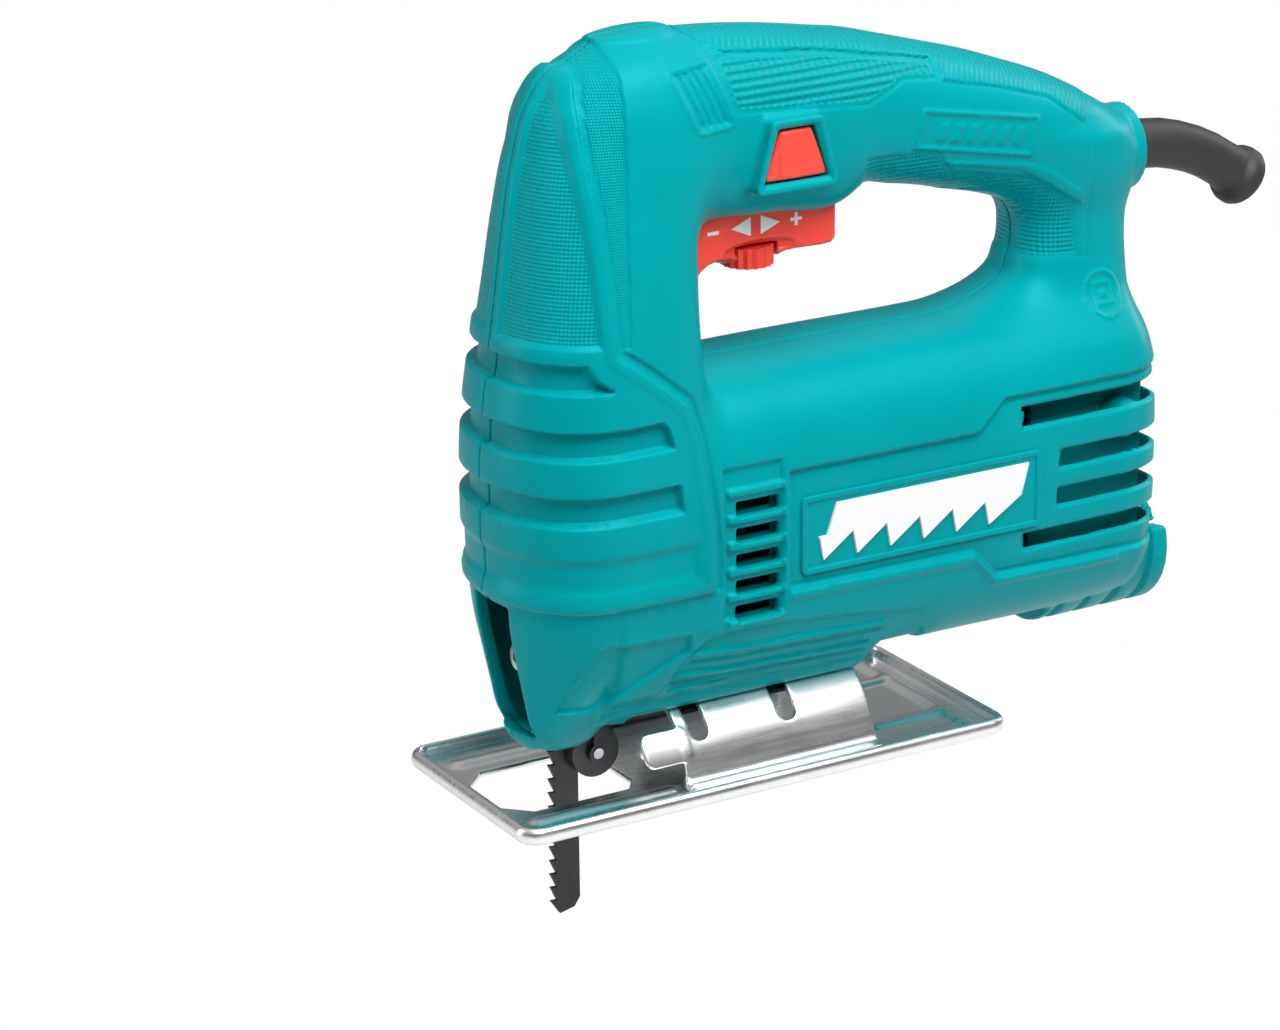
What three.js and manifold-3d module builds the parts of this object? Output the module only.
// Corded jigsaw: two moulded half shells around a motor, a crank drive and a plunger, on a tilting steel
// shoe.
// Millimetres, +Z up, -X is the cutting direction, -Y the operator's left.
// The origin is the centre of the shoe's underside, which is also where the bevel axis (along X) runs.

import * as THREE from 'three';
import { mergeVertices } from 'three/addons/utils/BufferGeometryUtils.js';
import Module from 'manifold-3d';

const wasm = await Module();
wasm.setup();

// ---------------------------------------------------------------- driving dimensions

const GAP = 0.3; // air between pieces that touch or fit together
const WALL = 2.5; // moulded shell wall

const shoe = { length: 140.8, width: 64.1, rim: 4.8, sheet: 1.5, corner: 5 };
const bladeOpening = { front: -64.3, rear: -29, halfWidth: 14, corner: 6 };
const bracket = { radius: 24, sheet: 1.5, front: -20.5, rear: 34.5, footReach: 27.5, tongue: 10.5,
  tongueAngle: 58 };
const bevel = { slotAngle: 58, saddleAngle: 36, screwRadius: 1.9, headRadius: 3.7, screwX: [-14.5, 11] };

const head = { frontX: -62.9, midX: -40, halfWidth: 28.6, topZ: 186 };
const barrel = { axisZ: 63.4, halfHeight: 41, halfWidth: 28.5, rearX: 124.3 };
const grip = { halfWidth: 17.6, underZ: 141 };
const post = { frontX: 88.8, rearX: 121.2, halfWidth: 13.6 };
const port = { axisZ: 34.7, radius: 18.2, bore: 15.7, frontX: 94, rearX: 129.4 };
const nozzle = { axisZ: 139.7, radius: 11.3, rearX: 124.6 };
const relief = { radius: 6.4, bore: 3.6, collar: 8.8, innerX: 100 };
const frontSlot = { halfWidth: 8, bottom: 17.5, top: 52.5 };

const motor = { axisZ: 64, coreRadius: 24.2, poleRadius: 16.4, coreFront: 16, coreLength: 38 };
const rotor = { radius: 15.8, shaftRadius: 4, commutatorRadius: 10, fanRadius: 22.4, bearingRadius: 9.5 };
const gears = { module: 1, pinionTeeth: 8, gearTeeth: 44, front: -26, width: 7.4, backlash: 0.42 };
const crank = { throw: 9, pinRadius: 3, axleRadius: 4 };

const blade = { tipX: -46.8, width: 8.18, thickness: 1.2, tipZ: -34.6, topZ: 39.5, pitch: 3.66,
  toothDepth: 1.75 };
const clamp = { radius: 5.2, bottom: 26, top: 43.4, screwZ: 36 };
const plunger = { x: -43, radius: 4.5, top: 128, yokeHalf: 17, yokeHeight: 14 };
const bush = { radius: 8, height: 8, upperZ: 112, lowerZ: 56 };
const roller = { radius: 6.6, grooveRadius: 2.6, grooveHalf: 1.1, halfWidth: 4.6, axisZ: 8.6,
  pinRadius: 1.4 };

const trigger = { front: -8.6, rear: 32.4, halfWidth: 8, bottom: 129.6, top: 144, beakZ: 124 };
const dial = { x: 10.5, y: -1.5, radius: 6.6, bottom: 126.2, height: 5, teeth: 18 };
const lock = { x: 12.8, z: 157.2, topHalf: 4.7, bottomHalf: 8.7, halfHeight: 6.2, face: 20.9 };
const switchBody = { front: 0, length: 34, halfWidth: 7, bottom: 153, height: 22 };
const plate = { x0: 9.5, x1: 80.5, z0: 53.2, z1: 73.4, thickness: 1, face: 29 };

// [x, z] of each shell screw; all are driven from the +Y side.
const shellScrews = [[-33, 170], [-20, 128], [-28, 46], [44, 160], [92, 157], [105, 112], [110, 75.1],
  [70, 96.5]];
const shellScrew = { shank: 1.7, head: 3.2, boss: 5.2, seat: 8, headHeight: 2.6, reach: 8 };

const clampScrewZ = relief.radius + 2.6; // half the distance between the two screws of the cord clamp
const cordClamp = { x: 106, y0: relief.radius + 0.1, y1: relief.radius + 3.1, half: clampScrewZ + 2.4 };
const capacitor = { front: 89, bottom: 84, half: 6 };

const sides = 18; // facets around the lofted bodies

// ---------------------------------------------------------------- shape helpers

// A closed three.js geometry becomes a manifold solid; one that is inside out is turned first.
function solid(geometry) {
  const bare = geometry.clone();
  bare.deleteAttribute('normal');
  bare.deleteAttribute('uv');
  const merged = mergeVertices(bare, 1e-4);
  const p = merged.attributes.position.array;
  const index = merged.index.array;
  const tris = [];
  let volume = 0;
  for (let i = 0; i < index.length; i += 3) {
    const [a, b, c] = [index[i], index[i + 1], index[i + 2]];
    if (a === b || b === c || a === c) continue;
    tris.push(a, b, c);
    const A = new THREE.Vector3().fromArray(p, a * 3);
    const B = new THREE.Vector3().fromArray(p, b * 3);
    const C = new THREE.Vector3().fromArray(p, c * 3);
    volume += A.dot(B.cross(C));
  }
  if (volume < 0) {
    for (let i = 0; i < tris.length; i += 3) [tris[i + 1], tris[i + 2]] = [tris[i + 2], tris[i + 1]];
  }
  const mesh = new wasm.Mesh({ numProp: 3, vertProperties: Float32Array.from(p),
    triVerts: Uint32Array.from(tris) });
  return new wasm.Manifold(mesh);
}

const join = (...solids) => solids.reduce((sum, next) => sum.add(next));
const cut = (body, ...tools) => tools.reduce((left, tool) => left.subtract(tool), body);
const both = (make) => join(make(1), make(-1));

function box(x0, x1, y0, y1, z0, z1) {
  const geometry = new THREE.BoxGeometry(x1 - x0, y1 - y0, z1 - z0);
  return solid(geometry.translate((x0 + x1) / 2, (y0 + y1) / 2, (z0 + z1) / 2));
}

// A cylinder along an axis: a and b are the other two coordinates, in x, y, z order.
function rod(axis, radius, from, to, a, b, facets = 24, endRadius = radius) {
  const geometry = new THREE.CylinderGeometry(endRadius, radius, to - from, facets);
  const middle = (from + to) / 2;
  if (axis === 'x') return solid(geometry.rotateZ(-Math.PI / 2).translate(middle, a, b));
  if (axis === 'y') return solid(geometry.translate(a, middle, b));
  return solid(geometry.rotateX(Math.PI / 2).translate(a, b, middle));
}

// An outline in the two other axes, in x, y, z order, extruded along an axis.
function prism(axis, outline, from, to, curveSegments = 3) {
  const shape = Array.isArray(outline) ? new THREE.Shape(outline.map(([u, v]) => new THREE.Vector2(u,
    v))) : outline;
  const geometry = new THREE.ExtrudeGeometry(shape, { depth: to - from, bevelEnabled: false,
    curveSegments });
  geometry.translate(0, 0, from);
  const [X, Y, Z] = [new THREE.Vector3(1, 0, 0), new THREE.Vector3(0, 1, 0), new THREE.Vector3(0, 0, 1)];
  const basis = { x: [Y, Z, X], y: [X, Z, Y], z: [X, Y, Z] }[axis];
  return solid(geometry.applyMatrix4(new THREE.Matrix4().makeBasis(...basis)));
}

function roundedOutline(u0, u1, v0, v1, r) {
  const shape = new THREE.Shape();
  shape.absarc(u1 - r, v0 + r, r, -Math.PI / 2, 0);
  shape.absarc(u1 - r, v1 - r, r, 0, Math.PI / 2);
  shape.absarc(u0 + r, v1 - r, r, Math.PI / 2, Math.PI);
  shape.absarc(u0 + r, v0 + r, r, Math.PI, Math.PI * 1.5);
  return shape;
}

// Part of a ring in the YZ plane, centred on the axis through (0, z), spread each side of an angle.
function arcBand(inner, outer, z, middle, spread, from, to) {
  const [a, b] = [middle - spread, middle + spread].map(THREE.MathUtils.degToRad);
  const shape = new THREE.Shape();
  shape.absarc(0, z, outer, a, b, false);
  shape.absarc(0, z, inner, b, a, true);
  return prism('x', shape, from, to, Math.ceil(spread / 10));
}

// A skin through rings that stand across the XZ plane. Each ring has its widest point at (x, z), half a
// width
// across Y, reaches ahead and behind along the direction tilt, and has its own squareness at each end.
function loft(rings, facets = sides) {
  const geometry = new THREE.CylinderGeometry(1, 1, 1, facets, rings.length - 1);
  const p = geometry.attributes.position;
  for (let i = 0; i < p.count; i++) {
    const ring = rings[Math.round((p.getY(i) + 0.5) * (rings.length - 1))];
    const onRim = Math.hypot(p.getX(i), p.getZ(i)) > 0.5;
    const angle = Math.atan2(p.getZ(i), p.getX(i));
    const snap = (value) => (onRim && Math.abs(value) > 1e-6 ? value : 0);
    const [c, s] = [snap(Math.cos(angle)), snap(Math.sin(angle))];
    const square = c < 0 ? ring.square : ring.squareRear ?? ring.square;
    const along = Math.sign(c) * Math.abs(c) ** (2 / square) * (c < 0 ? ring.ahead : ring.behind);
    const across = Math.sign(s) * Math.abs(s) ** (2 / square) * ring.half;
    const tilt = ring.tilt ?? 0;
    p.setXYZ(i, ring.x + along * Math.cos(tilt), across, ring.z + along * Math.sin(tilt));
  }
  return solid(geometry);
}

// A level ring from front to rear, and an upright ring from bottom to top.
const level = (z, front, mid, rear, half, square, squareRear) =>
  ({ x: mid, z, ahead: mid - front, behind: rear - mid, half, square, squareRear });
const upright = (x, bottom, top, half, square) =>
  ({ x, z: (bottom + top) / 2, ahead: (top - bottom) / 2, behind: (top - bottom) / 2, half, square,
    tilt: Math.PI / 2 });
const shrink = (rings, by) =>
  rings.map((r) => ({ ...r, ahead: r.ahead - by, behind: r.behind - by, half: r.half - by }));

// A wire coil along an axis; its ends are cut across.
class Coil extends THREE.Curve {
  constructor(radius, turns, place) {
    super();
    Object.assign(this, { radius, turns, place });
  }
  getPoint(t, target = new THREE.Vector3()) {
    const turn = t * this.turns * Math.PI * 2;
    return target.copy(this.place(this.radius * Math.cos(turn), this.radius * Math.sin(turn), t));
  }
}

function spring(radius, wire, turns, place) {
  const section = new THREE.Shape();
  section.absarc(0, 0, wire, 0, Math.PI * 2);
  const extrudePath = new Coil(radius, turns, place);
  const geometry = new THREE.ExtrudeGeometry(section, { steps: turns * 8, extrudePath, curveSegments: 2 });
  return solid(geometry);
}

// A spur gear outline with trapezoid teeth, thinned by the backlash, first tooth at the given angle.
function gearOutline(teeth, module, start, centreZ) {
  const pitch = (teeth * module) / 2;
  const [tip, root] = [pitch + 0.8 * module, pitch - 1.15 * module];
  const half = (Math.PI * module) / 4 - gears.backlash / 2;
  const points = [];
  for (let i = 0; i < teeth; i++) {
    const middle = start + (i * 2 * Math.PI) / teeth;
    for (const [r, w] of [[root, -1.45], [tip, -0.5], [tip, 0.5], [root, 1.45]]) {
      const a = middle + (w * half) / r;
      points.push([r * Math.cos(a), centreZ + r * Math.sin(a)]);
    }
  }
  return points;
}

const object = new THREE.Group();

const finishes = {
  shell: [0x00b2b8, 0.45, 0],
  red: [0xf24438, 0.4, 0],
  black: [0x2c2c2e, 0.6, 0],
  white: [0xf1f3f4, 0.5, 0],
  steel: [0xc9cbcd, 0.3, 1],
  darkSteel: [0x3b3b3d, 0.45, 0.8],
  cast: [0x9b9da0, 0.5, 0.8],
  copper: [0xb4633a, 0.4, 0.8],
  brass: [0xc8a24e, 0.35, 1],
  bronze: [0xa8743c, 0.5, 0.8],
  felt: [0xb9b3a4, 0.95, 0],
  carbon: [0x242424, 0.8, 0],
};

function add(name, body, finish) {
  const { vertProperties, triVerts } = body.getMesh();
  const geometry = new THREE.BufferGeometry();
  geometry.setAttribute('position', new THREE.BufferAttribute(new Float32Array(vertProperties), 3));
  geometry.setIndex(new THREE.BufferAttribute(new Uint32Array(triVerts), 1));
  geometry.computeVertexNormals();
  const [color, roughness, metalness] = finishes[finish];
  const mesh = new THREE.Mesh(geometry, new THREE.MeshStandardMaterial({ color, roughness, metalness }));
  mesh.name = name;
  object.add(mesh);
}

// ---------------------------------------------------------------- shell bodies

const headKeys = [
  level(12.2, head.frontX + 9, -46, -38.5, 7.6, 2.4, 3),
  level(13.6, head.frontX + 7.8, -46, -37, 8.8, 2.4, 3),
  level(18, head.frontX + 5.9, -45, -34.5, 12.6, 2.3, 3),
  level(26, head.frontX + 4.1, -43, -26, 17.4, 2.2, 3),
  level(36, head.frontX + 2.5, head.midX, -16, 22.2, 2.2, 3.5),
  level(46, head.frontX + 1.1, head.midX, -14, head.halfWidth - 2.6, 2.2, 4),
  level(56, head.frontX + 0.4, head.midX, -11, head.halfWidth - 0.6, 2.2, 5),
  level(94, head.frontX + 0.4, head.midX, -9.4, head.halfWidth - 0.2, 2.2, 6),
  level(130, head.frontX + 5.4, head.midX + 5, -11, head.halfWidth - 3.8, 2.2, 5),
  level(146, head.frontX + 7.8, head.midX + 7, -9, head.halfWidth - 6, 2.2, 3.5),
  level(162, head.frontX + 10.9, head.midX + 10, -4, head.halfWidth - 8.8, 2.2, 3),
  level(174, head.frontX + 15, head.midX + 13, -5, head.halfWidth - 12.6, 2.2, 2.7),
  level(181, head.frontX + 21, head.midX + 15, -8, head.halfWidth - 17, 2.2, 2.5),
  level(head.topZ, head.frontX + 31, head.midX + 18, -14, head.halfWidth - 23.6, 2.2, 2.2),
];
// Three bands wrap the front of the head; between them it is plain.
const bands = [[71.6, 6], [88.2, 6], [104.2, 5.4]];
const bandRings = bands.flatMap(([z, high]) =>
  [[-high, 0], [1.2 - high, 1.3], [high - 1.2, 1.3], [high, 0]].map(([rise, out]) => {
    const lean = Math.max(0, (z + rise - 84) / 46) ** 2 * 5.4;
    const narrow = Math.max(0, (z + rise - 84) / 46) ** 2 * 3.8;
    return level(z + rise, head.frontX + lean - out, head.midX + lean, -10,
      head.halfWidth - narrow + out * 0.6, 2.2, 5);
  }),
);
const headRings = [...headKeys.slice(0, 7), ...bandRings, ...headKeys.slice(8)];

const { axisZ, halfHeight, halfWidth } = barrel;
const barrelRing = (x, drop, squeeze) =>
  upright(x, axisZ - halfHeight + drop, axisZ + halfHeight - drop, halfWidth - squeeze, 2.7);
const barrelRings = [
  barrelRing(-26, 3, 3),
  barrelRing(-14, 0.5, 0.4),
  barrelRing(barrel.rearX - 24, 0, 0),
  barrelRing(barrel.rearX - 14, 0.6, 0.6),
  barrelRing(barrel.rearX - 8, 1.6, 2),
  barrelRing(barrel.rearX - 3.8, 3.6, 5),
  barrelRing(barrel.rearX - 1, 6.6, 9.4),
  barrelRing(barrel.rearX, 10.2, 15),
];

const gripRings = [
  upright(-26, grip.underZ - 1, 185.6, grip.halfWidth - 1, 2.6),
  upright(-8, grip.underZ - 1.6, 186, grip.halfWidth, 2.6),
  upright(14, grip.underZ - 2.2, 184.6, grip.halfWidth, 2.6),
  upright(34, grip.underZ - 2.2, 181.2, grip.halfWidth, 2.6),
  upright(38, grip.underZ + 0.8, 180.2, grip.halfWidth - 0.4, 2.6),
  upright(50, grip.underZ - 0.6, 177.6, grip.halfWidth - 0.7, 2.6),
  upright(62, grip.underZ - 3, 174.6, grip.halfWidth - 1, 2.6),
  upright(74, grip.underZ - 5.5, 171, grip.halfWidth - 1.2, 2.6),
  upright(86, grip.underZ - 9, 167, grip.halfWidth - 1.5, 2.6),
  upright(98, grip.underZ - 12, 162.4, grip.halfWidth - 2, 2.6),
  upright(108, grip.underZ - 13, 157.6, grip.halfWidth - 2.6, 2.5),
  upright(115, grip.underZ - 13, 153.4, grip.halfWidth - 3.6, 2.4),
  upright(post.rearX - 2, grip.underZ - 12, 150, grip.halfWidth - 5.6, 2.3),
  upright(post.rearX, grip.underZ - 9, 146.4, grip.halfWidth - 8.4, 2.2),
];

const postMid = (post.frontX + post.rearX) / 2;
const postRings = [
  level(96, post.frontX - 40, postMid, post.rearX + 0.6, post.halfWidth + 7, 2.6),
  level(104.6, post.frontX - 34, postMid, post.rearX + 0.6, post.halfWidth + 3.4, 2.6),
  level(107.6, post.frontX - 18, postMid, post.rearX + 0.4, post.halfWidth + 1.8, 2.8),
  level(111, post.frontX - 6.4, postMid, post.rearX + 0.2, post.halfWidth + 0.6, 3),
  level(116, post.frontX - 0.8, postMid, post.rearX, post.halfWidth, 3),
  level(128, post.frontX, postMid, post.rearX, post.halfWidth, 3),
  level(136, post.frontX - 3, postMid, post.rearX - 0.2, post.halfWidth + 0.4, 3),
  level(145, post.frontX - 10, postMid, post.rearX - 2, post.halfWidth + 0.4, 3),
];

// Below the barrel the shells narrow, so that the shoe can tilt; the underside follows the bracket's arch.
const archRadius = bracket.radius + 0.7;
const skirtSide = [[14.6, 19.9], [16.6, 22.8], [17.6, 26], [21.4, 34], [26.3, 45], [26.3, 62]];
const arch = { front: bracket.front - bracket.tongue - 0.8, rear: bracket.rear + 3 };
const mirrored = skirtSide.map(([y, z]) => [-y, z]).reverse();
const skirtOutline = [...skirtSide, ...mirrored];
const skirtCut = [[arch.rear - 2, 15], [arch.rear + 12, 48], [arch.rear + 60, 48], [arch.rear + 60, 15]];
const skirt = cut(prism('x', skirtOutline, arch.front - 8, arch.rear + 12), prism('y', skirtCut, -40, 40));

const nozzleCore = join(
  rod('x', nozzle.radius, 106, nozzle.rearX - 3, 0, nozzle.axisZ),
  rod('x', nozzle.radius - 1.2, nozzle.rearX - 3.1, nozzle.rearX, 0, nozzle.axisZ),
);
const portSteps = [1.6, 0, 0.9, 0].map((inset, i) => {
  const step = (port.rearX - port.frontX) / 4;
  const from = port.frontX + step * i;
  return rod('x', port.radius - inset, from, from + step + (i < 3 ? 0.1 : 0), 0, port.axisZ, 24);
});

// The raised flat panels on both flanks carry the name plates; a collar surrounds the lock-on button.
const sidePanel = [[plate.x0 - 3.5, 44.6], [plate.x0 - 3.5, 82.6], [62, 82.6], [70, 88], [108, 88], [108,
  41], [70, 41], [62, 44.6]];
const lockOutline = (grow) => [
  [lock.x - lock.bottomHalf - grow, lock.z - lock.halfHeight - grow],
  [lock.x + lock.bottomHalf + grow, lock.z - lock.halfHeight - grow],
  [lock.x + lock.topHalf + grow, lock.z + lock.halfHeight + grow],
  [lock.x - lock.topHalf - grow, lock.z + lock.halfHeight + grow],
];

const outer = join(
  loft(headRings),
  loft(barrelRings),
  loft(gripRings),
  loft(postRings),
  skirt,
  nozzleCore,
  ...portSteps,
  prism('y', sidePanel, -plate.face, plate.face),
  prism('y', lockOutline(2.6), -lock.face + 0.9, -8),
);

// ---------------------------------------------------------------- shell interior

const innerHead = shrink(headKeys.slice(0, -2), WALL);
innerHead[0] = { ...innerHead[0], z: innerHead[0].z - 3 };
const innerBarrel = shrink(barrelRings.slice(0, -2), WALL);
innerBarrel[innerBarrel.length - 1].x = barrel.rearX - WALL;
const innerGrip = shrink(gripRings.slice(0, -2), WALL);
const innerPost = shrink(postRings, WALL);
const skirtHollow = cut(
  prism('x', skirtOutline.map(([y, z]) => [y - Math.sign(y) * WALL, z + 1]), arch.front - 6, arch.rear + 6),
  prism('y', skirtCut.map(([x, z]) => [x - WALL, z]), -40, 40),
);
const hollow = join(loft(innerHead), loft(innerBarrel), loft(innerGrip), loft(innerPost), skirtHollow);

const coreRear = motor.coreFront + motor.coreLength;
const bearing = { frontX: -13, width: 6, rearX: 84, rearRadius: 8, sleeve: 2 };
const ribs = [motor.coreFront + 2, coreRear - 4.4].map((x) =>
  cut(box(x, x + 2.4, -35, 35, 20, 106), rod('x', motor.coreRadius + GAP, x - 1, x + 4, 0, motor.axisZ,
    24)),
);
const bearingSeatRadius = bearing.rearRadius + bearing.sleeve + 2 * GAP;
const bearingSeat = cut(
  box(bearing.rearX + 1.4, bearing.rearX + 4.4, -35, 35, 44, 106),
  rod('x', bearingSeatRadius, bearing.rearX, bearing.rearX + 6, 0, motor.axisZ),
);
const bushSeats = [bush.upperZ, bush.lowerZ].map((z) =>
  cut(box(-66, -31, -32, 32, z + 2, z + 6), rod('z', bush.radius + GAP, z, z + 8, plunger.x, 0)),
);
const bosses = shellScrews.map(([x, z]) => rod('y', shellScrew.boss, -32, 32, x, z, 10));
const bevelBosses = bevel.screwX.map((x) => rod('z', 4.6, archRadius - 2, archRadius + 10.6, x, 0, 16));
const cordBosses = both((s) => rod('y', 3.2, cordClamp.y1 + GAP, 20, cordClamp.x,
  nozzle.axisZ + s * clampScrewZ, 12));
const shelf = box(capacitor.front, capacitor.front + 16, -35, 35, capacitor.bottom - 2.3,
  capacitor.bottom - GAP);
const kept = join(
  shelf,
  ...ribs,
  bearingSeat,
  ...bushSeats,
  ...bosses,
  ...bevelBosses,
  cordBosses,
  rod('x', archRadius + WALL, arch.front - WALL, arch.rear + WALL, 0, 0, 32),
  rod('x', port.radius - 0.2, port.frontX + 2, port.rearX, 0, port.axisZ, 24),
  rod('x', nozzle.radius - 0.1, 110.5, nozzle.rearX, 0, nozzle.axisZ),
);

// Everything that is cut through the walls: openings, vents, seats and screw holes.
const ventRows = [0, 1, 2, 3, 4].map((i) => 74.7 - 6.8 * i);
const frontVents = ventRows.flatMap((z) => [box(-8.5, 3, 24, 40, z - 2.3, z + 2.3), box(-8.5, 3, -40, -24,
  z - 2.3, z + 2.3)]);
const rearRows = [[90, 81, 2], [88, 68.6, 2.5], [88, 58.2, 2.3]];
const rearVents = rearRows.flatMap(([x, z, high]) => [
  box(x, barrel.rearX - 8, 21, 40, z - high, z + high),
  box(x, barrel.rearX - 8, -40, -21, z - high, z + high),
]);
const screwHoles = shellScrews.flatMap(([x, z]) => [
  rod('y', shellScrew.shank + GAP, -shellScrew.reach - 1, shellScrew.seat + 1, x, z, 8),
  rod('y', shellScrew.head + GAP, shellScrew.seat - GAP, 40, x, z, 10),
]);
const duct = { y: 10, z: 33, radius: 4, bore: 3 };
const throughCuts = [
  rod('x', archRadius, arch.front, arch.rear, 0, 0, 32),
  prism('z', [[arch.front - 4, 0], [arch.rear, 30], [arch.rear, -30]], -5, 1),
  box(-80, -52, -frontSlot.halfWidth, frontSlot.halfWidth, frontSlot.bottom, frontSlot.top),
  box(-52.6, -34.6, -6.4, 6.4, 0, 27.5),
  box(trigger.front - 0.4, trigger.rear + 0.4, -trigger.halfWidth - 0.35, trigger.halfWidth + 0.35, 118,
    152.6),
  prism('y', lockOutline(0.35), -40, -6),
  rod('x', port.bore, port.frontX + 5, port.rearX + 5, 0, port.axisZ, 24),
  rod('x', duct.radius + GAP, arch.front - 2, port.frontX + 8, duct.y, duct.z, 12),
  rod('x', relief.radius, relief.innerX - 2, nozzle.rearX + 5, 0, nozzle.axisZ),
  rod('x', relief.collar + GAP, 113.4, 117.6, 0, nozzle.axisZ),
  box(cordClamp.x - 3 - GAP, cordClamp.x + 3 + GAP, cordClamp.y0 - GAP, cordClamp.y1 + GAP,
    nozzle.axisZ - cordClamp.half - GAP, nozzle.axisZ + cordClamp.half + GAP),
  ...bevel.screwX.map((x) => rod('z', bevel.screwRadius + GAP, 18, archRadius + 9.4, x, 0, 16)),
  both((s) => rod('y', 1.6, cordClamp.y0 - 2.5, cordClamp.y1 + 5.5, cordClamp.x,
    nozzle.axisZ + s * clampScrewZ, 12)),
  both((s) => {
    const [near, far] = [s * (plate.face - plate.thickness - GAP), s * 40].sort((a, b) => a - b);
    return prism('y', roundedOutline(plate.x0 - GAP, plate.x1 + GAP, plate.z0 - GAP, plate.z1 + GAP, 3),
      near, far);
  }),
  ...frontVents,
  ...rearVents,
  ...screwHoles,
];
const casing = cut(outer, cut(hollow, kept), ...throughCuts);
add('housing_left', casing.intersect(box(-90, 160, -60, -GAP / 2, 0, 200)), 'shell');
add('housing_right', casing.intersect(box(-90, 160, GAP / 2, 60, 0, 200)), 'shell');

shellScrews.forEach(([x, z], i) => {
  const headEnd = shellScrew.seat + shellScrew.headHeight;
  const body = join(
    rod('y', shellScrew.shank, -shellScrew.reach, shellScrew.seat + 0.1, x, z, 8),
    rod('y', shellScrew.head, shellScrew.seat, headEnd, x, z, 12),
  );
  const cross = join(
    box(x - 0.5, x + 0.5, headEnd - 1.4, headEnd + 1, z - 2, z + 2),
    box(x - 2, x + 2, headEnd - 1.4, headEnd + 1, z - 0.5, z + 0.5),
  );
  add(`shell_screw_${i + 1}`, cut(body, cross), 'darkSteel');
});

for (const [name, s] of [['name_plate_left', -1], ['name_plate_right', 1]]) {
  const [near, far] = [s * (plate.face - plate.thickness), s * plate.face].sort((a, b) => a - b);
  add(name, prism('y', roundedOutline(plate.x0, plate.x1, plate.z0, plate.z1, 2.7), near, far), 'shell');
}

// ---------------------------------------------------------------- shoe and bevel bracket

function shoeOutline(inset) {
  const [l, w] = [shoe.length / 2 - inset, shoe.width / 2 - inset];
  return roundedOutline(-l, l, -w, w, Math.max(shoe.corner - inset, 0.8));
}
const opening = (() => {
  const { front, rear, halfWidth: w, corner: c } = bladeOpening;
  return [[front, -w + c], [front + c, -w], [rear - 3, -w], [rear, -w + 4], [rear, w - 4], [rear - 3, w],
    [front + c, w], [front, w - c]];
})();
const bead = (y) => rod('x', 1.6, bladeOpening.front + 2, bladeOpening.rear + 10, y, shoe.sheet - 0.6, 12);
// Halfway between the opening and the rim, but always inside the feet of the bracket.
const beadMiddle = (bladeOpening.halfWidth + shoe.width / 2 - shoe.sheet) / 2 - 1.4;
const beadY = Math.min(beadMiddle, bracket.radius - bracket.sheet - 1.5);
const pan = join(
  cut(prism('z', shoeOutline(0), 0, shoe.rim), prism('z', shoeOutline(shoe.sheet), shoe.sheet,
    shoe.rim + 1)),
  bead(beadY).intersect(box(-90, 90, -40, 40, 0.4, 10)),
  bead(-beadY).intersect(box(-90, 90, -40, 40, 0.4, 10)),
);
const accessHoles = bevel.screwX.map((x) => rod('z', bevel.headRadius + 1.3, -1, 3, x, 0, 20));
add('shoe', cut(pan, prism('z', opening, -1, 5), ...accessHoles), 'steel');

const inner = bracket.radius - bracket.sheet;
const footTop = shoe.sheet + GAP + bracket.sheet;
const footAngle = THREE.MathUtils.radToDeg(Math.asin((shoe.sheet + GAP) / inner));
const slotFrom = (x) => arcBand(inner - 2, bracket.radius + 2, 0, 90, bevel.slotAngle, x - 2.5, x + 2.5);
const bracketBody = join(
  arcBand(inner, bracket.radius, 0, 90, 90 - footAngle, bracket.front, bracket.rear),
  both((s) => {
    const [near, far] = [s * (inner + 0.4), s * bracket.footReach].sort((a, b) => a - b);
    return box(bracket.front, bracket.rear, near, far, shoe.sheet + GAP, footTop);
  }),
  arcBand(inner, bracket.radius, 0, 90 + bracket.tongueAngle, 11, bracket.front - bracket.tongue,
    bracket.front + 2),
);
add('bevel_bracket', cut(bracketBody, ...bevel.screwX.map(slotFrom)), 'steel');

const saddle = { outer: inner - GAP, thickness: 1.6 };
const saddleBody = arcBand(saddle.outer - saddle.thickness, saddle.outer, 0, 90, bevel.saddleAngle,
  bracket.front + 1.5, bracket.rear - 1.5);
const saddleHoles = bevel.screwX.map((x) => rod('z', bevel.screwRadius + GAP, 10, 30, x, 0, 16));
add('bevel_clamp_plate', cut(saddleBody, ...saddleHoles), 'darkSteel');

bevel.screwX.forEach((x, i) => {
  const headTop = saddle.outer - saddle.thickness - 0.6;
  const body = join(
    rod('z', bevel.screwRadius, headTop - 0.1, archRadius + 8.6, x, 0, 14),
    rod('z', bevel.headRadius, headTop - 3.2, headTop, x, 0, 18),
  );
  add(`bevel_screw_${i + 1}`, cut(body, rod('z', 1.9, headTop - 4, headTop - 0.9, x, 0, 6)), 'darkSteel');
});

// ---------------------------------------------------------------- motor

const shaftParts = [
  rod('x', rotor.shaftRadius, bearing.frontX - 3, bearing.rearX - 1.5, 0, motor.axisZ, 20),
  rod('x', 3, bearing.rearX - 2, bearing.rearX + bearing.width + 1.5, 0, motor.axisZ, 16),
  prism('x', gearOutline(gears.pinionTeeth, gears.module, Math.PI / 2 + Math.PI / gears.pinionTeeth,
    motor.axisZ),
    gears.front - 0.3, gears.front + gears.width + 0.3),
  rod('x', 2.7, gears.front, bearing.frontX - 2, 0, motor.axisZ, 14),
];
add('rotor_shaft', join(...shaftParts), 'steel');

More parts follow.
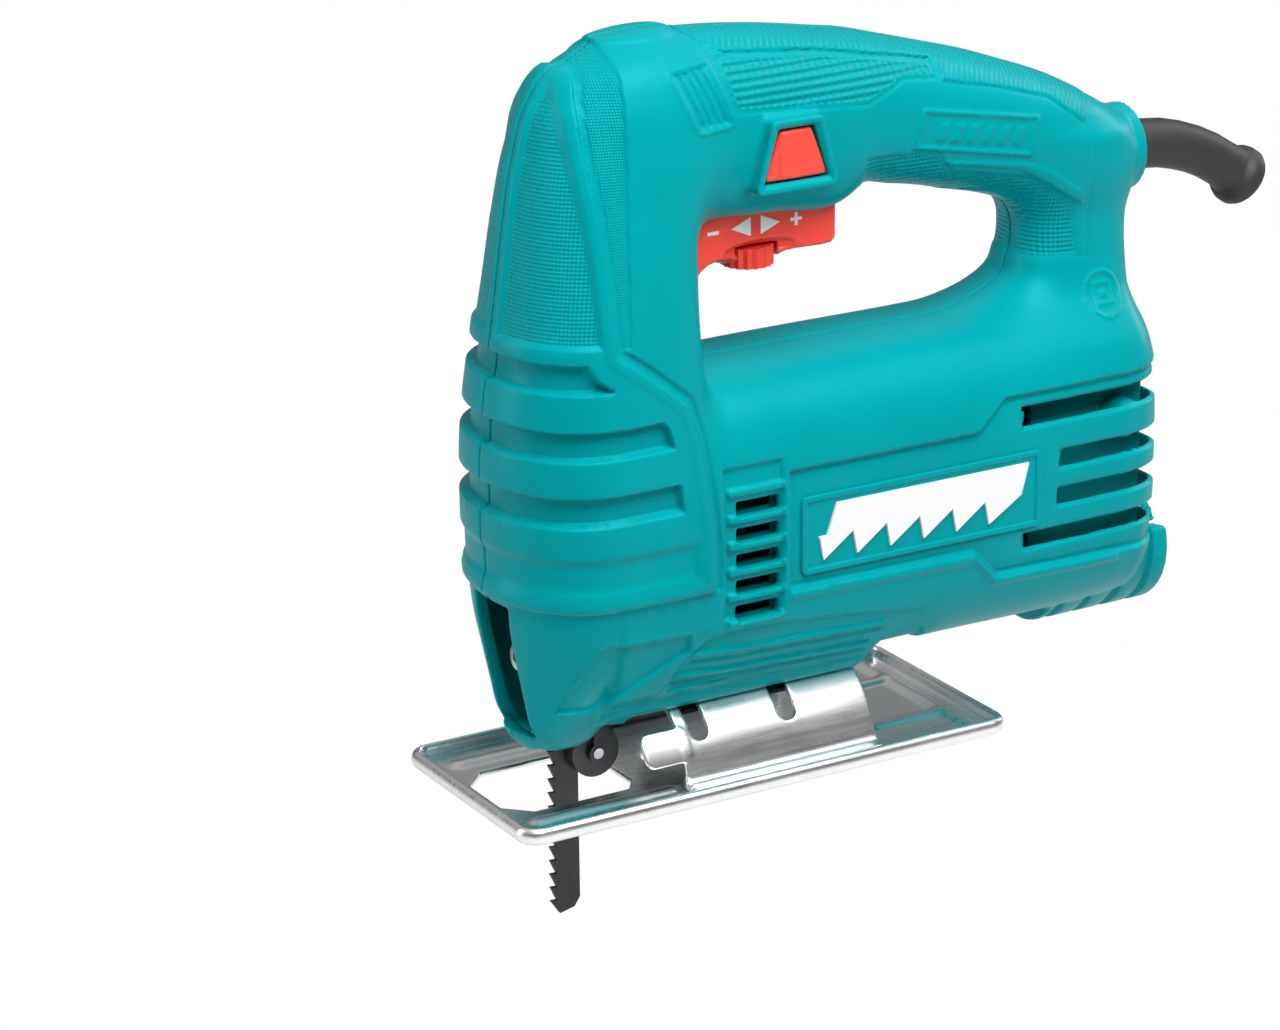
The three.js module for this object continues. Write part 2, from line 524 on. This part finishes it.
const slotCount = 12;
const slots = Array.from({ length: slotCount }, (_, i) => {
  const a = (i * 2 * Math.PI) / slotCount;
  const [y, z] = [Math.cos(a), Math.sin(a)];
  const corner = (r, w) => [r * y - w * z, motor.axisZ + r * z + w * y];
  const outline = [corner(rotor.radius - 5, -1), corner(rotor.radius + 1, -0.7), corner(rotor.radius + 1,
    0.7), corner(rotor.radius - 5, 1)];
  return prism('x', outline, motor.coreFront - 1, coreRear + 1);
});
const armature = rod('x', rotor.radius, motor.coreFront, coreRear, 0, motor.axisZ, 36);
const shaftHole = (from, to) => rod('x', rotor.shaftRadius + GAP, from - 1, to + 1, 0, motor.axisZ, 20);
add('armature_core', cut(armature, shaftHole(motor.coreFront, coreRear), ...slots), 'darkSteel');
for (const [name, from, to] of [
  ['armature_winding_front', motor.coreFront - 8, motor.coreFront - GAP],
  ['armature_winding_rear', coreRear + GAP, coreRear + 8],
]) {
  const ring = rod('x', rotor.radius - 2, from, to, 0, motor.axisZ, 24);
  add(name, cut(ring, shaftHole(from, to)), 'copper');
}
const commutator = { from: coreRear + 8.6, to: coreRear + 22 };
const bars = Array.from({ length: slotCount }, (_, i) => {
  const a = ((i + 0.5) * 2 * Math.PI) / slotCount;
  const corner = (r, w) => [r * Math.cos(a) - w * Math.sin(a),
    motor.axisZ + r * Math.sin(a) + w * Math.cos(a)];
  const r = rotor.commutatorRadius;
  const outline = [corner(r - 1, -0.3), corner(r + 1, -0.3), corner(r + 1, 0.3), corner(r - 1, 0.3)];
  return prism('x', outline, commutator.from - 1, commutator.to + 1);
});
add('commutator', cut(rod('x', rotor.commutatorRadius, commutator.from, commutator.to, 0, motor.axisZ, 36),
  shaftHole(commutator.from, commutator.to), ...bars), 'copper');

const fan = { from: -4.6, to: 6 };
const fanBladeCount = 9;
const fanBlades = Array.from({ length: fanBladeCount }, (_, i) => {
  const a = (i * 2 * Math.PI) / fanBladeCount;
  const corner = (r, w) => [r * Math.cos(a) - w * Math.sin(a),
    motor.axisZ + r * Math.sin(a) + w * Math.cos(a)];
  const outline = [corner(7, -0.6), corner(rotor.fanRadius, -0.6), corner(rotor.fanRadius, 0.6), corner(7,
    0.6)];
  return prism('x', outline, fan.from + 1, fan.to);
});
const fanBody = join(
  rod('x', rotor.fanRadius, fan.from, fan.from + 1.6, 0, motor.axisZ, 32),
  rod('x', 8, fan.from, fan.to, 0, motor.axisZ, 20),
  ...fanBlades,
);
add('cooling_fan', cut(fanBody, shaftHole(fan.from, fan.to)), 'black');

// The laminated field core has two poles, above and below, and each pole carries a coil.
const coreRing = rod('x', motor.coreRadius, motor.coreFront, coreRear, 0, motor.axisZ, 36);
const coilInner = rotor.radius + 2;
const coilOuter = motor.coreRadius - 3;
const windows = [0, 180].map((a) => arcBand(coilInner - 2, coilOuter + GAP, motor.axisZ, a, 50,
  motor.coreFront - 1, coreRear + 1));
const boreCut = rod('x', motor.poleRadius, motor.coreFront - 1, coreRear + 1, 0, motor.axisZ, 36);
add('field_core', cut(coreRing, boreCut, ...windows), 'darkSteel');
for (const [name, angle] of [['field_coil_upper', 90], ['field_coil_lower', 270]]) {
  const band = arcBand(coilInner, coilOuter, motor.axisZ, angle, 68, motor.coreFront - 6, coreRear + 6);
  const gapBand = arcBand(coilInner - 1, coilOuter + 1, motor.axisZ, angle, 42, motor.coreFront - GAP,
    coreRear + GAP);
  add(name, cut(band, gapBand), 'copper');
}

for (const [name, x, radius, bore] of [
  ['front_bearing', bearing.frontX, rotor.bearingRadius, rotor.shaftRadius],
  ['rear_bearing', bearing.rearX, bearing.rearRadius, 3],
]) {
  const ring = rod('x', radius, x, x + bearing.width, 0, motor.axisZ, 28);
  add(name, cut(ring, rod('x', bore + GAP, x - 1, x + bearing.width + 1, 0, motor.axisZ, 20)), 'steel');
}
const sleeveRing = rod('x', bearing.rearRadius + GAP + bearing.sleeve, bearing.rearX, bearing.rearX + 5.4,
  0, motor.axisZ);
add('rear_bearing_sleeve', cut(sleeveRing,
  rod('x', bearing.rearRadius + GAP, bearing.rearX - 1, bearing.rearX + 7, 0, motor.axisZ, 28)), 'black');

const brush = { x: (commutator.from + commutator.to) / 2, half: 3, from: rotor.commutatorRadius + GAP,
  to: 20 };
for (const [side, s] of [['left', -1], ['right', 1]]) {
  const span = (a, b) => [s * a, s * b].sort((p, q) => p - q);
  const square = (half, y0, y1) => {
    const [near, far] = span(y0, y1);
    return box(brush.x - half, brush.x + half, near, far, motor.axisZ - half, motor.axisZ + half);
  };
  add(`brush_holder_${side}`, cut(square(brush.half + 1.3, brush.from + 1.2, 24),
    square(brush.half + GAP, brush.from, 30)), 'brass');
  add(`carbon_brush_${side}`, square(brush.half, brush.from, brush.to), 'carbon');
}

// ---------------------------------------------------------------- crank drive

const gearZ = motor.axisZ + (gears.module * (gears.pinionTeeth + gears.gearTeeth)) / 2;
const gearRear = gears.front + gears.width;
const plateFront = gearRear + 1.1;
const plateRear = bearing.frontX - GAP;
const gearPlateRadius = 19.5;
const gearPlateBody = join(
  rod('x', gearPlateRadius, plateFront, plateRear, 0, gearZ, 28),
  box(plateFront, plateRear, -gearPlateRadius, gearPlateRadius, 54, gearZ),
  rod('x', rotor.bearingRadius + 2.6, plateFront, bearing.frontX + bearing.width, 0, motor.axisZ, 28),
);
add('gear_plate', cut(gearPlateBody,
  rod('x', rotor.bearingRadius + GAP, bearing.frontX - GAP, bearing.frontX + 10, 0, motor.axisZ, 28),
  rod('x', rotor.shaftRadius + 1.2, plateFront - 1, plateRear + 1, 0, motor.axisZ, 20),
  rod('x', crank.axleRadius - 1 + GAP, plateFront - 1, plateRear + 1, 0, gearZ, 20)), 'cast');
add('crank_axle', join(
  rod('x', crank.axleRadius - 1, gearRear + 0.5, plateRear, 0, gearZ, 20),
  rod('x', crank.axleRadius, gears.front - 0.5, gearRear + 0.7, 0, gearZ, 20),
  rod('x', crank.axleRadius + 1.3, gears.front - 1.8, gears.front - 0.4, 0, gearZ, 20),
), 'steel');

const pinReach = 5.6; // the crank pin stands this far ahead of the gear
const gearBody = join(
  prism('x', gearOutline(gears.gearTeeth, gears.module, -Math.PI / 2, gearZ), gears.front, gearRear),
  rod('x', crank.pinRadius, gears.front - pinReach, gears.front + 1, crank.throw, gearZ, 16),
);
add('crank_gear', cut(gearBody, rod('x', crank.axleRadius + GAP, gears.front - 1, gearRear + 1, 0, gearZ,
  20)), 'steel');

// ---------------------------------------------------------------- plunger, clamp, blade

const yokeRear = gears.front - pinReach - 0.5; // the pin stops short of the yoke, where the loop is opened
const yokeZ = [gearZ - plunger.yokeHeight / 2, gearZ + plunger.yokeHeight / 2];
const yokeSlot = roundedOutline(-crank.throw - crank.pinRadius - GAP, crank.throw + crank.pinRadius + GAP,
  gearZ - crank.pinRadius - GAP, gearZ + crank.pinRadius + GAP, crank.pinRadius);
const plungerBody = join(
  rod('z', plunger.radius, clamp.top + GAP, plunger.top, plunger.x, 0, 20),
  box(yokeRear - 5, yokeRear, -plunger.yokeHalf, plunger.yokeHalf, ...yokeZ),
  box(plunger.x, yokeRear - 4.9, -6, 6, ...yokeZ),
);
add('plunger', cut(plungerBody, prism('x', yokeSlot, yokeRear - 4, yokeRear + 1)), 'steel');

for (const [name, z] of [['upper_bush', bush.upperZ], ['lower_bush', bush.lowerZ]]) {
  const ring = rod('z', bush.radius, z, z + bush.height, plunger.x, 0, 24);
  add(name, cut(ring, rod('z', plunger.radius + GAP, z - 1, z + 9, plunger.x, 0, 20)), 'bronze');
}
const feltTop = bush.lowerZ - GAP;
add('felt_seal', cut(rod('z', bush.radius, feltTop - 3, feltTop, plunger.x, 0, 24),
  rod('z', plunger.radius + GAP, feltTop - 4, feltTop + 1, plunger.x, 0, 20)), 'felt');

const bladeBack = blade.tipX + blade.width;
const bladeHalf = blade.thickness / 2;
add('blade_clamp', cut(rod('z', clamp.radius, clamp.bottom, clamp.top, plunger.x, 0, 24),
  box(blade.tipX - 0.6, bladeBack + 3, -bladeHalf - GAP, bladeHalf + GAP, clamp.bottom - 1,
    blade.topZ + GAP),
  rod('x', 2.3, plunger.x - 8, blade.tipX + 1, 0, clamp.screwZ, 14)), 'darkSteel');
add('clamp_screw', cut(
  join(rod('x', 2, -51, blade.tipX - GAP, 0, clamp.screwZ, 14), rod('x', 3.2, -55, -50.9, 0, clamp.screwZ,
    20)),
  rod('x', 1.7, -56, -52, 0, clamp.screwZ, 6)), 'steel');

const toothCount = Math.round(45 / blade.pitch);
const gullet = blade.tipX + blade.toothDepth;
const bladeOutline = [[gullet + 0.7, blade.tipZ], [bladeBack - 1.6, blade.tipZ + 0.9], [bladeBack,
  blade.tipZ + 3.4]];
bladeOutline.push([bladeBack, clamp.bottom - 4], [bladeBack - 1, clamp.bottom - 2], [bladeBack - 1,
  blade.topZ]);
bladeOutline.push([blade.tipX + 1, blade.topZ], [blade.tipX + 1, clamp.bottom - 2]);
const firstTooth = blade.tipZ + 3.7;
bladeOutline.push([gullet, firstTooth + toothCount * blade.pitch + 2]);
for (let i = toothCount; i >= 0; i--) {
  const z = firstTooth + i * blade.pitch;
  bladeOutline.push([gullet, z - 0.1], [blade.tipX, z]);
}
add('blade', prism('y', bladeOutline, -bladeHalf, bladeHalf), 'darkSteel');

// ---------------------------------------------------------------- guide roller

const rollerX = bladeBack + GAP / 6 + roller.grooveRadius + 0.25;
const flanges = both((s) => {
  const [a, b] = [s * roller.grooveHalf, s * roller.halfWidth].sort((p, q) => p - q);
  return rod('y', roller.radius, a, b, rollerX, roller.axisZ, 28);
});
const rollerBody = join(flanges, rod('y', roller.grooveRadius, -2, 2, rollerX, roller.axisZ, 20));
add('guide_roller', cut(rollerBody,
  rod('y', roller.pinRadius + GAP, -8, 8, rollerX, roller.axisZ, 16)), 'cast');
const earInner = roller.halfWidth + GAP;
const fork = { earOuter: earInner + 1.2, rear: arch.front - WALL - GAP, top: 26 };
const forkBody = join(
  box(fork.rear - 2.4, fork.rear, -fork.earOuter, fork.earOuter, roller.axisZ + roller.radius + 0.9,
    fork.top),
  both((s) => {
    const [a, b] = [s * earInner, s * fork.earOuter].sort((p, q) => p - q);
    return join(
      box(fork.rear - 2.4, fork.rear, a, b, roller.axisZ, roller.axisZ + roller.radius + 2),
      rod('y', 2.6, a, b, rollerX, roller.axisZ, 16),
    );
  }),
);
add('roller_fork', cut(forkBody, rod('y', roller.pinRadius + GAP, -8, 8, rollerX, roller.axisZ, 16)),
  'darkSteel');
add('roller_pin', rod('y', roller.pinRadius, -fork.earOuter, fork.earOuter, rollerX, roller.axisZ, 16),
  'steel');

// ---------------------------------------------------------------- trigger, switch and lock-on button

const beak = new THREE.Shape();
beak.moveTo(trigger.front, trigger.beakZ);
beak.quadraticCurveTo(trigger.front + 2.6, trigger.bottom, trigger.front + 10, trigger.bottom);
beak.lineTo(trigger.rear - 1.5, trigger.bottom);
beak.lineTo(trigger.rear, trigger.bottom + 1.5);
beak.lineTo(trigger.rear, trigger.top);
beak.lineTo(trigger.front + 2, trigger.top);
beak.lineTo(trigger.front, trigger.top - 4);
const springHole = { x: 12, depth: 6.4, radius: 3.3 };
const dialTop = dial.bottom + dial.height;
add('trigger', cut(prism('y', beak, -trigger.halfWidth, trigger.halfWidth),
  rod('z', dial.radius + 0.6, trigger.beakZ, dialTop + 0.5, dial.x, dial.y, 24),
  rod('z', 1.8 + GAP, trigger.bottom, dialTop + 4.4, dial.x, dial.y, 14),
  rod('z', springHole.radius, trigger.top - springHole.depth, trigger.top + 1, springHole.x, 0, 16)),
    'red');

const dialOutline = Array.from({ length: dial.teeth * 2 }, (_, i) => {
  const a = (i * Math.PI) / dial.teeth;
  const r = dial.radius - (i % 2 ? 0.6 : 0);
  return [dial.x + r * Math.cos(a), dial.y + r * Math.sin(a)];
});
add('speed_dial', join(prism('z', dialOutline, dial.bottom, dialTop),
  rod('z', 1.8, dialTop - 0.1, dialTop + 4, dial.x, dial.y, 14)), 'red');

const springFrom = trigger.top - springHole.depth + 0.9;
add('trigger_spring', spring(2.5, 0.45, 4, (u, v, t) =>
  new THREE.Vector3(springHole.x + u, v, springFrom + t * (switchBody.bottom - 0.9 - springFrom))),
    'steel');
const switchRear = switchBody.front + switchBody.length;
const switchTop = switchBody.bottom + switchBody.height;
add('switch_body', cut(
  box(switchBody.front, switchRear, -switchBody.halfWidth, switchBody.halfWidth, switchBody.bottom,
    switchTop),
  box(switchRear - 8, switchRear + 1, -10, 10, switchTop - 6, switchTop + 1)), 'black');

const lockInner = 11.5;
const lockSpringHole = { radius: 3.2, end: 17.4 };
add('lock_button', cut(prism('y', lockOutline(0), -lock.face, -lockInner),
  rod('y', lockSpringHole.radius, -lockSpringHole.end, -lockInner + 1, lock.x, lock.z, 16)), 'red');
const lockSpringFrom = -switchBody.halfWidth - 0.9;
add('lock_spring', spring(2.4, 0.4, 3, (u, v, t) =>
  new THREE.Vector3(lock.x + u, lockSpringFrom - t * (lockSpringHole.end - 0.9 + lockSpringFrom),
    lock.z + v)), 'steel');

// ---------------------------------------------------------------- cord entry, dust tube, capacitor

const reliefPath = [[relief.innerX, 0, 1], [nozzle.rearX, 0, 1], [nozzle.rearX + 11, 1, 1],
  [nozzle.rearX + 22, 4.2, 0.98],
  [nozzle.rearX + 31, 9, 0.96], [nozzle.rearX + 34.6, 11.4, 1.0], [nozzle.rearX + 35.8, 12.2, 1.24],
    [nozzle.rearX + 38.6, 14.2, 1.24]];
const reliefRings = (radius, reach) => reliefPath.map(([x, drop, swell], i) => {
  const before = reliefPath[Math.max(i - 1, 0)];
  const after = reliefPath[Math.min(i + 1, reliefPath.length - 1)];
  const heading = Math.atan2(before[1] - after[1], after[0] - before[0]);
  const r = radius === null ? relief.bore : radius * (i < 2 ? 1 - 0.4 / radius : swell);
  const over = i === 0 ? -reach : i === reliefPath.length - 1 ? reach : 0;
  return { x: x + over * Math.cos(heading), z: nozzle.axisZ - drop + over * Math.sin(heading), ahead: r,
    behind: r,
    half: r, square: 2, tilt: heading + Math.PI / 2 };
});
add('strain_relief', cut(
  join(loft(reliefRings(relief.radius, 0), 14), rod('x', relief.collar, 113.7, 117.3, 0, nozzle.axisZ, 24)),
  loft(reliefRings(null, 1), 8)), 'black');

add('cord_clamp', cut(
  box(cordClamp.x - 3, cordClamp.x + 3, cordClamp.y0, cordClamp.y1, nozzle.axisZ - cordClamp.half,
    nozzle.axisZ + cordClamp.half),
  both((s) => rod('y', 1.6, cordClamp.y0 - 1.5, cordClamp.y1 + 1.5, cordClamp.x,
    nozzle.axisZ + s * clampScrewZ, 12))), 'black');
[1, -1].forEach((s, i) => {
  const z = nozzle.axisZ + s * clampScrewZ;
  const headTop = cordClamp.y0 - GAP;
  const body = join(rod('y', 1.3, headTop - 0.1, cordClamp.y1 + 4.5, cordClamp.x, z, 10),
    rod('y', 2.5, headTop - 2, headTop, cordClamp.x, z, 14));
  add(`cord_clamp_screw_${i + 1}`, cut(body, box(cordClamp.x - 2, cordClamp.x + 2, headTop - 3.2,
    headTop - 1.2, z - 0.4, z + 0.4)), 'steel');
});

add('dust_tube', cut(rod('x', duct.radius, arch.front - 1, port.frontX + 6, duct.y, duct.z, 16),
  rod('x', duct.bore, arch.front - 3, port.frontX + 8, duct.y, duct.z, 16)), 'black');
add('capacitor', prism('x', roundedOutline(-capacitor.half, capacitor.half, capacitor.bottom,
  capacitor.bottom + 12, 2.5),
  capacitor.front, capacitor.front + 16), 'white');

export default object;
